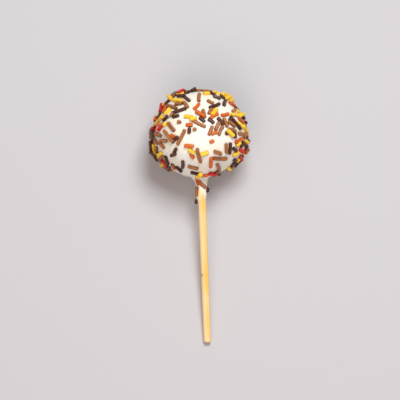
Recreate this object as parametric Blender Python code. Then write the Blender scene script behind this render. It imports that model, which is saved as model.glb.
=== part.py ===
"""A cake pop lying on its side: a coated cake ball with sprinkles in its coating, on a bamboo stick.

Metres, +Z up. The origin is on the floor, straight under the middle of the ball, on the small flat that
the ball rests on. The stick runs towards -Y and comes down to the floor at its far end.

Until it is laid down, the pop has directions of its own: right (+X), up (+Y, along the stick towards the
crown) and front (+Z, the shown face), from the middle of the ball. A place on the coating is its height
along the stick's line and its angle round that line, from right (0) over front (a quarter turn).
"""

import math
import random
from collections import namedtuple

import bmesh
import bpy
import numpy as np
from mathutils import Matrix, Vector

MM = 0.001

# The ball, without its sprinkles.
BALL_RADIUS = 19.4 * MM  # across the stick
CROWN_HEIGHT = 17.5 * MM  # from the middle to the crown, along the stick
REST_DEPTH = 0.7 * MM  # how much of the underside is flat, where the ball lies

# Where the hand-rolled ball is fuller (+) or flatter (-): a share of its radius, and right, up, front.
SWELLS = (
    (0.022, (-0.96, -0.26, 0.10)),
    (-0.088, (-0.94, 0.33, 0.10)),
    (0.036, (-0.70, 0.71, 0.05)),
    (-0.072, (0.94, 0.34, 0.05)),
    (0.015, (0.72, 0.69, 0.10)),
    (0.016, (0.96, -0.25, 0.15)),
    (-0.016, (0.10, 0.80, -0.60)),
    (0.014, (0.25, 0.10, -0.96)),
)
SWELL_REACH = 0.42  # radians
SWELL_END = -1.7  # the neck is true to round from this many crown heights

# The collar of coating that runs down the stick.
COLLAR_END = -28.0 * MM
COLLAR_RADIUS = 2.12 * MM
COLLAR_FLARE = 1.1 * MM  # extra radius where the collar leaves the ball
FLARE_LENGTH = 1.6 * MM
FILLET = 7.5 * MM  # how softly the ball runs into the collar, in front and behind
FILLET_CHANGE = 2.5 * MM  # softer on the left, tighter on the right
POLE_SLOPE = 2.0  # how fast the ball's outline would go on past its poles

# The stick.
STICK_RADIUS = 1.55 * MM
STICK_FOOT_RADIUS = 1.48 * MM
STICK_TOP = 3.5 * MM  # how far past the ball's middle it was pushed in
STICK_FOOT = -85.5 * MM
STICK_ROUNDING = 0.45 * MM
SOCKET_GAP = 0.3 * MM

# Sprinkles.
SPRINKLE_WIDTH = 1.4 * MM
YELLOW_WIDTH = 1.65 * MM
SINK = 0.55  # how much of its radius a sprinkle has sunk into the coating
END_SINK = 1.0 * MM  # how deep the lower end of one that sticks out is
PRESS = 0.70  # how near the centre lines of two crossing sprinkles come, as a share of their width
PILE_STEP = 0.06 * MM
FLOOR_CLEARANCE = 0.2 * MM
STANDING_LENGTH = 1.9 * MM
STANDING_LEAN = 80  # degrees
BLUNT = 0.4  # how much of its width a sprinkle's centre line ends short of each tip
SEEN_EDGE = 0.998  # how far out on the ball's shown face a place can be, as a share of the outline
NECK_START = -16.2 * MM  # places seen lower than this can be on the collar
STEEPEST = 1.5  # how fast one that is seen foreshortened may go in, for its length as seen
LEAST_FACING = 0.2  # how far a place at the rim is taken to face the front, at least, for that
AIMS = 3  # how often its place is aimed again, as it lies a little in front of the coating
SPOTS = 4  # how many points stand for a sprinkle's centre line on each side of its middle
SOLVING_STEPS = 30  # how often a place or the tilt is worked out closer

BROWN, DARK, ORANGE, YELLOW, RED = "brown", "dark", "orange", "yellow", "red"

# The sprinkles that show best: millimetres right of and above the middle of the ball, turn from level in
# degrees, and length as seen from the front. Later ones lie on earlier ones.
FACE_SPRINKLES = {
    DARK: (
        (-4.9, 15.0, -48, 3.5), (-7.0, 15.3, 2, 2.8), (-8.2, 9.8, 17, 6.4), (-9.5, 7.6, 15, 2.6),
        (-4.2, 1.5, 84, 2.5), (-10.2, -2.0, 42, 3.4), (-10.3, -6.5, 60, 2.0), (-7.4, -12.4, 86, 2.8),
        (-9.0, -14.2, -45, 2.8), (-2.5, -16.1, -14, 3.6), (1.2, 5.8, -42, 3.0), (4.9, 5.1, -38, 3.1),
        (6.6, 11.3, 19, 4.6), (8.8, 4.9, -55, 3.9), (15.4, 3.4, -53, 5.4), (14.5, -0.9, -86, 3.0),
        (12.3, -6.5, 84, 4.6), (10.8, 12.4, 70, 2.4), (7.7, 14.8, -24, 3.2), (13.2, -13.0, 62, 2.6),
        (-14.0, -10.4, -74, 3.4), (13.0, 5.9, 62, 1.9), (2.6, -23.0, 80, 1.5), (-2.4, -27.6, 84, 1.6),
        (-11.0, -8.1, 20, 2.2), (11.1, -0.1, 75, 1.5),
    ),
    BROWN: (
        (-11.6, 3.3, -54, 4.4), (-12.9, -0.5, -54, 6.2), (-7.6, -1.1, 61, 6.9), (0.3, 15.0, 83, 3.2),
        (5.0, 12.9, -30, 3.0), (-5.2, 12.2, -55, 2.8), (-10.8, 11.6, -22, 3.8), (-8.2, 12.7, 3, 2.9),
        (2.1, 8.2, -78, 3.6), (4.7, 9.1, 60, 2.6), (10.9, 4.3, -70, 4.0), (7.4, 2.9, 62, 3.7),
        (8.7, 1.0, 62, 4.1), (4.6, 1.2, 66, 4.0), (13.4, 3.6, -40, 3.4), (13.6, 1.1, -22, 3.0),
        (10.8, -6.4, -88, 3.9), (7.2, -8.1, -24, 3.3), (8.0, -10.6, -4, 5.7), (7.2, -13.8, -70, 2.4),
        (6.3, -16.1, 38, 3.5), (-0.7, -9.0, -77, 5.9), (-3.2, -13.8, -17, 4.3), (-15.7, -4.2, -52, 3.0),
        (-15.0, -2.3, -5, 2.8), (-0.1, 4.2, -29, 6.2), (0.4, -20.8, -43, 4.0), (-2.2, -23.5, 86, 3.8),
    ),
    ORANGE: (
        (-0.8, 11.3, 43, 3.4), (0.6, 8.2, -35, 4.6), (6.2, 7.2, 30, 3.8), (10.7, 7.5, 10, 3.0),
        (-4.1, 3.8, -6, 2.8), (5.9, 0.1, 22, 2.5), (-4.5, -4.9, -7, 3.9), (-3.4, -9.1, -55, 2.2),
        (4.2, -12.0, 85, 3.9), (-11.1, -0.5, -20, 2.0), (1.6, -17.1, 10, 2.9), (16.1, -3.3, 28, 3.5),
        (-1.6, -19.3, -78, 2.8), (4.9, -3.3, 15, 1.9),
    ),
    YELLOW: (
        (-4.3, 7.2, -6, 3.5), (-2.3, 6.3, 8, 3.0), (6.4, 8.8, 47, 3.4), (12.8, -0.2, -46, 3.5),
        (-3.7, -7.1, -40, 3.0), (1.7, -8.2, 18, 3.4), (-8.4, 14.1, -10, 3.6), (3.5, 16.5, 0, 2.5),
        (14.6, 7.3, -4, 3.0), (-14.0, 4.6, 60, 1.8), (14.5, -8.7, 28, 2.6), (-12.7, 9.8, 44, 3.4),
        (-0.9, -17.2, 35, 2.2),
    ),
    RED: ((4.8, -17.1, -10, 2.6),),
}

# Those at the shown rim, in the same way. Here the ones further out lie on those further in.
RIM_SPRINKLES = {
    BROWN: (
        (0.4, 18.1, 0, 2.1), (3.2, 18.0, -4, 2.4), (-10.7, 16.5, 22, 1.6), (-11.3, 8.6, 43, 1.8),
        (-18.9, 0.6, -62, 2.2), (-17.0, 0.3, -28, 2.6), (-18.1, -2.5, -44, 2.2), (-17.9, -5.9, 84, 2.3),
        (-16.1, -9.1, 33, 2.6), (-11.3, -13.0, -56, 2.2), (16.9, -0.5, -7, 2.0), (18.7, -1.3, 57, 1.9),
        (20.0, -0.5, -89, 2.8), (19.0, -7.7, 50, 2.0), (14.5, 9.0, 46, 1.9), (-14.0, 13.3, 50, 2.2),
    ),
    RED: (
        (-7.2, 18.4, 20, 2.6), (-15.5, 11.4, 78, 3.2), (-17.3, 3.2, 59, 2.2),
        (-15.0, -11.9, -58, 4.0), (17.0, -7.5, -40, 2.9), (16.5, -10.4, -62, 2.3),
    ),
    ORANGE: (
        (-13.9, 10.7, 65, 3.2), (-16.1, 4.3, -9, 2.5), (13.7, 11.9, -32, 2.3), (17.1, 5.0, -40, 2.4),
    ),
    YELLOW: (
        (-7.3, 16.7, 18, 3.2), (-16.5, 6.2, 47, 4.3), (-19.2, -1.2, 90, 2.6), (-19.2, -5.1, -88, 3.1),
        (-18.6, -7.4, -42, 1.4), (-16.8, -7.8, 36, 2.8), (11.6, 14.1, 28, 2.3), (13.9, 13.9, 10, 2.4),
        (16.2, 8.2, -47, 2.7), (17.6, 7.1, 28, 2.5), (16.8, 3.1, -49, 2.8), (18.7, 1.6, -61, 2.8),
        (19.0, -3.8, -35, 2.0), (15.7, -4.8, 43, 2.2), (15.3, -11.3, 46, 2.0), (10.5, 16.6, 58, 1.7),
        (-12.3, 16.4, -53, 1.6), (11.6, -14.7, -52, 1.6), (6.7, 17.5, 8, 1.4), (8.5, 16.6, -23, 1.4),
    ),
    DARK: (
        (-20.1, 0.6, -85, 4.6), (-20.4, -4.3, 89, 4.2), (-19.6, -7.8, -45, 3.0), (-5.2, 18.2, -50, 2.4),
        (-3.2, 18.1, 15, 1.6), (-1.8, 18.3, 32, 1.6), (-11.2, 15.1, 25, 2.2), (-13.0, 14.0, 43, 1.9),
        (-15.7, 9.0, 68, 1.9), (-13.8, 6.9, 43, 2.9), (-12.9, -13.3, 72, 2.3), (5.7, 16.5, -29, 2.4),
        (10.0, 14.8, -47, 1.8), (16.0, 10.5, -49, 2.8), (20.2, 1.7, -82, 2.0), (20.4, -3.1, -44, 2.3),
        (17.4, -4.9, 58, 2.5), (18.8, -5.4, -41, 2.0), (14.5, -11.7, -26, 1.4), (9.8, -15.8, -36, 1.4),
        (14.3, -7.0, -40, 1.8),
    ),
}

# Sprinkles that stand up out of the shown face, so that only an end shows.
FACE_STANDING = {BROWN: ((-8.1, 5.1), (-1.9, 1.9))}

# The rest of the ball is strewn by this rule, the longest sprinkles first. The solid carries the longest.
SEED = 31
STREWN = 420
FUSED = 108
SHORTEST, LONGEST, COMMONEST = 1.8 * MM, 5.6 * MM, 3.1 * MM
TRIES = 60
STREWN_FRONT = -0.6 * MM  # no strewn one lies further to the front than this
BARE_BELOW = -14.0 * MM  # and stop this near the collar
PILED = 0.06  # share of the tries on top of another sprinkle that stay
PROUD = 0.05  # share that stick out at one end
PROUD_ANGLES = (12, 30)  # degrees
COLOUR_SHARES = {BROWN: 0.30, DARK: 0.27, ORANGE: 0.13, YELLOW: 0.20, RED: 0.10}

# What is commonest along the shown rim, by the direction from the middle in degrees (0 right, 90 up).
RIM_COLOURS = {
    5: (YELLOW, ORANGE, DARK),
    40: (YELLOW, YELLOW),
    80: (DARK, BROWN),
    128: (YELLOW, DARK, RED),
    150: (RED, ORANGE, DARK),
    168: (YELLOW, RED),
    190: (DARK,),
    212: (YELLOW, DARK),
    228: (RED, BROWN),
    300: (RED, BROWN),
    318: (DARK, ORANGE),
    342: (RED, DARK, YELLOW),
}
RIM_SHARE = 0.7  # share of the rim that these make up
RIM_DEPTH = -7.0 * MM  # how far behind the outline the rim reaches

# How finely the faces are cut.
BALL_SIDES = 36
BALL_RINGS = 15
LAST_BALL_RING = 150  # degrees from the crown
NECK_RINGS = 5
NECK_END = -19.6 * MM
COLLAR_RINGS = 3
SPRINKLE_SIDES = 5
ROUND_SIDES = 24

# The steps that a direction on the coating is read over.
SMALL_STEP = 0.05 * MM
SMALL_TURN = 0.01  # radians

Sprinkle = namedtuple("Sprinkle", "colour centre along outward length width")


def smooth_max(first, second, softness):
    """The larger of two numbers, with the corner between them rounded over this much."""
    overlap = max(0.0, softness - abs(first - second)) / softness
    return max(first, second) + overlap * overlap * softness / 4


def swell(point):
    """The share by which the ball is fuller or flatter in this direction from its middle."""
    total = 0.0
    for amount, facing in SWELLS:
        total += amount * math.exp(-((point.angle(Vector(facing)) / SWELL_REACH) ** 2))
    fade = min(1.0, max(0.0, 2 * (point.y / CROWN_HEIGHT - SWELL_END)))
    return total * fade


def skin_radius(height, angle):
    """The coating's distance from the stick's line, before any swell."""
    level = height / CROWN_HEIGHT
    if abs(level) < 1:
        ball = BALL_RADIUS * math.sqrt(1 - level * level)
    else:
        ball = POLE_SLOPE * (CROWN_HEIGHT - abs(height))
    if height > 0:
        return max(ball, 0.0)
    flare = math.exp(min(0.0, height + CROWN_HEIGHT) / FLARE_LENGTH)
    collar = COLLAR_RADIUS + COLLAR_FLARE * flare
    return smooth_max(ball, collar, FILLET - FILLET_CHANGE * math.cos(angle))


def skin_point(height, angle):
    """The point of the coating at a height along the stick's line and an angle round it."""
    radius = skin_radius(height, angle)
    point = Vector((radius * math.cos(angle), height, radius * math.sin(angle)))
    return point * (1 + swell(point))


def skin_normal(height, angle):
    """The direction straight out of the coating there."""
    along = skin_point(height + SMALL_STEP, angle) - skin_point(height - SMALL_STEP, angle)
    around = skin_point(height, angle + SMALL_TURN) - skin_point(height, angle - SMALL_TURN)
    return along.cross(around).normalized()


def face_place(across, up):
    """The height and angle of the coating that is seen from the front at this place, or nearest to it."""
    outness = math.hypot(across / BALL_RADIUS, up / CROWN_HEIGHT) / SEEN_EDGE
    if outness > 1 and up > NECK_START:
        across /= outness
        up /= outness
    height = up
    angle = math.pi / 2
    for _ in range(SOLVING_STEPS):
        point = skin_point(height, angle)
        height += up - point.y
        reach = math.hypot(point.x, point.z)
        angle = math.acos(max(-1.0, min(1.0, across / reach)))
    return height, angle


def spots_along(centre, along, length, width):
    """Points spread along a sprinkle's centre line."""
    reach = length / 2 - width * BLUNT
    return np.array([centre + along * (reach * spot / SPOTS) for spot in range(-SPOTS, SPOTS + 1)])


def gaps_to(spots, laid):
    """How far each of these laid sprinkles is from the nearest of these points, beyond contact."""
    gaps = []
    for other in laid:
        others = spots_along(other.centre, other.along, other.length, other.width)
        gaps.append(np.linalg.norm(others[:, None] - spots[None], axis=2).min() - PRESS * other.width)
    return gaps


def pile_height(spots, outward, laid):
    """How far a sprinkle here is lifted to lie on top of those already laid, and how many it crosses."""
    crossed = [other for other, gap in zip(laid, gaps_to(spots, laid)) if gap < 0]
    lift = 0.0
    while crossed and min(gaps_to(spots + np.array(outward) * lift, crossed)) < 0:
        lift += PILE_STEP
    return lift, len(crossed)


def settled(colour, place, along, length, lean, laid):
    """A sprinkle laid on the coating, or on top of those that it crosses, and how many it crosses."""
    width = YELLOW_WIDTH if colour == YELLOW else SPRINKLE_WIDTH
    outward = skin_normal(*place)
    flat = (along - outward * along.dot(outward)).normalized()
    line = flat * math.cos(lean) + outward * math.sin(lean)
    proud = max(0.0, math.sin(lean) * length / 2 - END_SINK)
    centre = skin_point(*place) + outward * (width / 2 * (1 - SINK) + proud)
    lift, crossed = pile_height(spots_along(centre, line, length, width), outward, laid)
    return Sprinkle(colour, centre + outward * lift, line, outward, length, width), crossed


def laid_as_seen(colour, across, up, turn, length, lean, laid):
    """A sprinkle that is seen from the front at this place, with this turn from level and this length."""
    seen = Vector((math.cos(turn), math.sin(turn), 0.0))
    aim_across, aim_up = across, up
    for _ in range(AIMS):
        place = face_place(aim_across, aim_up)
        outward = skin_normal(*place)
        depth = -seen.dot(outward) / max(outward.z, LEAST_FACING)
        line = seen + Vector((0, 0, max(-STEEPEST, min(STEEPEST, depth))))
        along = line.normalized() if line.dot(outward) > 0 else -line.normalized()
        tilt = max(lean, math.asin(along.dot(outward)))
        sprinkle, _ = settled(colour, place, along, length * line.length, tilt, laid)
        aim_across += across - sprinkle.centre.x
        aim_up += up - sprinkle.centre.y
    return sprinkle


def face_sprinkles():
    """The sprinkles that lie or stand apart on the shown face, and those at its rim."""
    listed = [(colour, *place) for colour, places in FACE_SPRINKLES.items() for place in places]
    rim = [(colour, *place) for colour, places in RIM_SPRINKLES.items() for place in places]
    rim.sort(key=lambda sprinkle: math.hypot(sprinkle[1], sprinkle[2]))
    laid = []
    for colour, across, up, turn, length in listed + rim:
        turned = math.radians(turn)
        laid.append(laid_as_seen(colour, across * MM, up * MM, turned, length * MM, 0.0, laid))
    lean = math.radians(STANDING_LEAN)
    for colour, places in FACE_STANDING.items():
        for across, up in places:
            laid.append(laid_as_seen(colour, across * MM, up * MM, 0.0, STANDING_LENGTH, lean, laid))
    return laid


def strewn_colour(draw, point):
    """A colour for a sprinkle at this point, which on the shown rim goes by the direction."""
    chosen = draw.choices(list(COLOUR_SHARES), list(COLOUR_SHARES.values()))[0]
    direction = math.degrees(math.atan2(point.y, point.x)) % 360
    nearest = min(RIM_COLOURS, key=lambda degrees: abs((direction - degrees + 180) % 360 - 180))
    common = draw.choice(RIM_COLOURS[nearest])
    on_rim = draw.random() < RIM_SHARE and point.z > RIM_DEPTH
    return common if on_rim else chosen


def strewn_sprinkles(laid, count):
    """The first so many strewn sprinkles, from the longest down, round those already laid."""
    draw = random.Random(SEED)
    lengths = sorted((draw.triangular(SHORTEST, LONGEST, COMMONEST) for _ in range(STREWN)), reverse=True)
    strewn = []
    for length in lengths[:count]:
        for _ in range(TRIES):
            place = CROWN_HEIGHT * draw.uniform(-1, 1), draw.uniform(0, 2 * math.pi)
            turn = draw.uniform(0, math.pi)
            lean = math.radians(draw.uniform(*PROUD_ANGLES)) if draw.random() < PROUD else 0.0
            stays_on_pile = draw.random() < PILED
            point = skin_point(*place)
            colour = strewn_colour(draw, point)
            if point.z > STREWN_FRONT or point.y < BARE_BELOW:
                continue
            outward = skin_normal(*place)
            along = Matrix.Rotation(turn, 3, outward) @ outward.orthogonal().normalized()
            sprinkle, crossed = settled(colour, place, along, length, lean, laid + strewn)
            off_floor = lowest_point(sprinkle) > FLOOR_CLEARANCE
            if off_floor and (crossed == 0 or (crossed == 1 and stays_on_pile)):
                strewn.append(sprinkle)
                break
    return strewn


def ball_height(tilt):
    """How high the middle of the ball is above the floor, with the pop tilted this much."""
    return math.hypot(BALL_RADIUS * math.cos(tilt), CROWN_HEIGHT * math.sin(tilt)) - REST_DEPTH


def resting_tilt():
    """The tilt at which the ball and the foot of the stick both lie on the floor."""
    tilt = 0.0
    for _ in range(SOLVING_STEPS):
        drop = ball_height(tilt) - STICK_FOOT_RADIUS * math.cos(tilt)
        tilt = math.asin(drop / -(STICK_FOOT + STICK_ROUNDING))
    return tilt


TILT = resting_tilt()
LYING = Matrix.Translation((0, 0, ball_height(TILT))) @ Matrix.Rotation(TILT, 4, "X")


def lowest_point(sprinkle):
    """The height of a sprinkle's lowest point above the floor."""
    ends = [LYING @ (sprinkle.centre + sprinkle.along * (side * sprinkle.length / 2)) for side in (-1, 1)]
    return min(end.z for end in ends) - sprinkle.width / 2


def new_material(name, colour, roughness):
    """A plain dyed surface."""
    material = bpy.data.materials.new(name)
    material.use_nodes = True
    shader = material.node_tree.nodes["Principled BSDF"]
    shader.inputs["Base Color"].default_value = (*colour, 1.0)
    shader.inputs["Roughness"].default_value = roughness
    shader.inputs["Metallic"].default_value = 0.0
    return material


def new_object(name, shape, collection, material=None):
    """Turns a bmesh in the pop's own directions into an object that lies on the floor."""
    mesh = bpy.data.meshes.new(name)
    shape.to_mesh(mesh)
    shape.free()
    if material:
        mesh.materials.append(material)
    thing = bpy.data.objects.new(name, mesh)
    thing.matrix_world = LYING
    collection.objects.link(thing)
    return thing


def ball_heights():
    """The heights of the rings of points from under the crown to the collar's end."""
    last = math.radians(LAST_BALL_RING)
    heights = [CROWN_HEIGHT * math.cos(last * ring / BALL_RINGS) for ring in range(1, BALL_RINGS + 1)]
    for end, count in ((NECK_END, NECK_RINGS), (COLLAR_END, COLLAR_RINGS)):
        start = heights[-1]
        heights += [start + (end - start) * ring / count for ring in range(1, count + 1)]
    return heights


def ball_shape():
    """The coated ball and its collar, with the flat that it rests on."""
    shape = bmesh.new()
    angles = [2 * math.pi * side / BALL_SIDES for side in range(BALL_SIDES)]
    rings = [[shape.verts.new(skin_point(height, angle)) for angle in angles] for height in ball_heights()]
    crown = shape.verts.new(skin_point(CROWN_HEIGHT, 0.0))
    for side in range(BALL_SIDES):
        after = (side + 1) % BALL_SIDES
        shape.faces.new((crown, rings[0][side], rings[0][after]))
        for upper, lower in zip(rings, rings[1:]):
            shape.faces.new((upper[side], lower[side], lower[after], upper[after]))
    shape.faces.new(rings[-1])
    floor = LYING.inverted()
    bmesh.ops.bisect_plane(
        shape,
        geom=shape.verts[:] + shape.edges[:] + shape.faces[:],
        plane_co=floor.translation,
        plane_no=floor.to_3x3() @ Vector((0, 0, -1)),
        clear_outer=True,
    )
    bmesh.ops.holes_fill(shape, edges=[edge for edge in shape.edges if edge.is_boundary])
    bmesh.ops.recalc_face_normals(shape, faces=shape.faces)
    return shape


def rod_shape(middle, along, up, length, start_radius, end_radius, sides):
    """A round rod with flat ends and this many sides, one corner towards up."""
    side = up.cross(along).normalized()
    turn = Matrix((side, along.cross(side), along)).transposed()
    shape = bmesh.new()
    bmesh.ops.create_cone(
        shape,
        cap_ends=True,
        segments=sides,
        radius1=start_radius,
        radius2=end_radius,
        depth=length,
        matrix=Matrix.Translation(middle) @ turn.to_4x4(),
    )
    return shape


def stick_line_rod(foot, top, foot_radius, top_radius):
    """A round rod on the stick's line."""
    middle = Vector((0, (foot + top) / 2, 0))
    up, front = Vector((0, 1, 0)), Vector((0, 0, 1))
    return rod_shape(middle, up, front, top - foot, foot_radius, top_radius, ROUND_SIDES)


def sprinkle_shape(sprinkle):
    """A blunt rod, as long and wide as the round sprinkle."""
    radius = sprinkle.width / 2
    return rod_shape(
        sprinkle.centre, sprinkle.along, sprinkle.outward, sprinkle.length, radius, radius, SPRINKLE_SIDES
    )


def apply_boolean(body, operation, **operand):
    """Joins a collection to the body or cuts an object from it, and keeps the result as the body's mesh."""
    modifier = body.modifiers.new(operation.lower(), "BOOLEAN")
    modifier.operation = operation
    for setting, value in operand.items():
        setattr(modifier, setting, value)
    graph = bpy.context.evaluated_depsgraph_get()
    joined = bpy.data.meshes.new_from_object(body.evaluated_get(graph))
    body.modifiers.clear()
    body.data = joined


def keep_outer_shell(mesh):
    """Fills the hollows that joining seals and drops loose scraps: only the largest shell stays."""
    shape = bmesh.new()
    shape.from_mesh(mesh)
    left = set(shape.verts)
    shells = []
    while left:
        shell = {left.pop()}
        edge_of_shell = shell
        while edge_of_shell:
            edge_of_shell = {e.other_vert(v) for v in edge_of_shell for e in v.link_edges} - shell
            shell = shell | edge_of_shell
        left -= shell
        shells.append(shell)
    shells.sort(key=len)
    bmesh.ops.delete(shape, geom=[vert for shell in shells[:-1] for vert in shell], context="VERTS")
    shape.to_mesh(mesh)
    shape.free()


def shade_round(mesh):
    """Shades a round piece smooth and keeps its sharp edges."""
    mesh.shade_smooth()
    mesh.set_sharp_from_angle(angle=math.radians(40))


def make_coated_ball(pop):
    """The coated ball with its sprinkles joined on and the blind hole that the stick is in."""
    coating = new_material("white_coating", (0.93, 0.90, 0.84), 0.32)
    ball = new_object("coated_ball", ball_shape(), pop, coating)
    sprinkles = bpy.data.collections.new("sprinkles")
    pop.children.link(sprinkles)
    laid = face_sprinkles()
    for sprinkle in laid + strewn_sprinkles(laid, FUSED):
        new_object("sprinkle", sprinkle_shape(sprinkle), sprinkles)
    apply_boolean(ball, "UNION", operand_type="COLLECTION", collection=sprinkles)
    for rod in list(sprinkles.objects):
        bpy.data.objects.remove(rod)
    bpy.data.collections.remove(sprinkles)

    bore = STICK_RADIUS + SOCKET_GAP
    past_collar = COLLAR_END - STICK_RADIUS
    socket = new_object("socket", stick_line_rod(past_collar, STICK_TOP + SOCKET_GAP, bore, bore), pop)
    apply_boolean(ball, "DIFFERENCE", object=socket)
    bpy.data.objects.remove(socket)
    keep_outer_shell(ball.data)
    shade_round(ball.data)


def make_stick(pop):
    """The bamboo stick, a little slimmer at its foot, with rounded ends."""
    bamboo = new_material("bamboo", (0.86, 0.66, 0.36), 0.55)
    shape = stick_line_rod(STICK_FOOT, STICK_TOP, STICK_FOOT_RADIUS, STICK_RADIUS)
    rims = [edge for edge in shape.edges if any(len(face.verts) > 4 for face in edge.link_faces)]
    bmesh.ops.bevel(shape, geom=rims, offset=STICK_ROUNDING, segments=3, profile=0.5, affect="EDGES")
    stick = new_object("stick", shape, pop, bamboo)
    shade_round(stick.data)


def main():
    """Clears the scene and makes the cake pop."""
    for thing in list(bpy.data.objects):
        bpy.data.objects.remove(thing)
    pop = bpy.context.scene.collection
    make_coated_ball(pop)
    make_stick(pop)


main()
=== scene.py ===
"""The looks of a cake pop that lies on its side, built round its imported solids.

The pop is a ball of cake in white coating, strewn with sugar rods of five colours, on a bamboo stick.
Metres, +Z up.

Until it is laid down, the pop has directions of its own: right (+X), up (+Y, along the stick towards the
crown) and front (+Z, the shown face), from the middle of the ball. A place on the coating is its height along
the stick's line and its angle round that line, from right (0) over front (a quarter turn).
"""

import logging
import math
import random
from dataclasses import dataclass, field, replace
from enum import Enum
from typing import Any, Iterable, Sequence

import bpy
import numpy as np
from mathutils import Matrix, Vector, noise
from mathutils.kdtree import KDTree


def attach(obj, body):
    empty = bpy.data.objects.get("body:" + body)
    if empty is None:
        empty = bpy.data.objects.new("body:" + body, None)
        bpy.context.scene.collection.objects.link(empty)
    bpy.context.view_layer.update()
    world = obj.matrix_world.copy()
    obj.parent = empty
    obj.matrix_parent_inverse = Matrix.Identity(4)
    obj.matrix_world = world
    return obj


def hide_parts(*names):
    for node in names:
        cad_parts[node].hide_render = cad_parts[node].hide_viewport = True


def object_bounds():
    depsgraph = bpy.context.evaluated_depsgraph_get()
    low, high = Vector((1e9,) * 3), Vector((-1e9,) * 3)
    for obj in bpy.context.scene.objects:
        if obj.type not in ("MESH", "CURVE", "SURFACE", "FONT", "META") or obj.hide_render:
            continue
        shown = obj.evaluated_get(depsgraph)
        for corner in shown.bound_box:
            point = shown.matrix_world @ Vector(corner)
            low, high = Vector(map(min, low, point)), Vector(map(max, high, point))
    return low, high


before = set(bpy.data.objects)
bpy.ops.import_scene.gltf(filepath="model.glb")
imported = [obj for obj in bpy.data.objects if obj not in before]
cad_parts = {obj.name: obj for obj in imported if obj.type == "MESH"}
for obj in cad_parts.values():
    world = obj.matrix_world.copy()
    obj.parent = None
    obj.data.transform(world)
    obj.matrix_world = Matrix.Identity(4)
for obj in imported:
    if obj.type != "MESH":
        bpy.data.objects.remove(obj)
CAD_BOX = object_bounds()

MM = 0.001
Colour = tuple[float, float, float]
Span = tuple[float, float]
Socket = bpy.types.NodeSocket
log = logging.getLogger("cake_pop")


def from_bytes(red: int, green: int, blue: int) -> Colour:
    """A screen colour as the linear numbers that a shader takes, by the sRGB curve.

    Args:
        red: red, from 0 to 255.
        green: green, from 0 to 255.
        blue: blue, from 0 to 255.

    Returns:
        The linear red, green and blue, from 0 to 1.
    """
    shares = [value / 255 for value in (red, green, blue)]
    return tuple(share / 12.92 if share <= 0.04045 else ((share + 0.055) / 1.055) ** 2.4 for share in shares)


def blend(first: float, second: float, share: float) -> float:
    """The number that lies this share of the way from the first to the second."""
    return first + (second - first) * share


def smooth_max(first: float, second: float, softness: float) -> float:
    """The larger of two numbers, with the corner between them rounded.

    Args:
        first: one number.
        second: the other.
        softness: how far apart they still round each other.

    Returns:
        The rounded maximum.
    """
    overlap = max(0.0, softness - abs(first - second)) / softness
    return max(first, second) + overlap * overlap * softness / 4


def eased(share: float) -> float:
    """A share held between 0 and 1, which starts and stops gently."""
    share = min(1.0, max(0.0, share))
    return share * share * (3 - 2 * share)


def leftness(angle: float) -> float:
    """How far to the left an angle round the stick's line is: 0 on the right, 1 on the left."""
    return (1 - math.cos(angle)) / 2


class Dye(Enum):
    """The colours of the sugar rods."""

    BROWN = "brown"
    DARK = "dark"
    ORANGE = "orange"
    YELLOW = "yellow"
    RED = "red"


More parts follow.
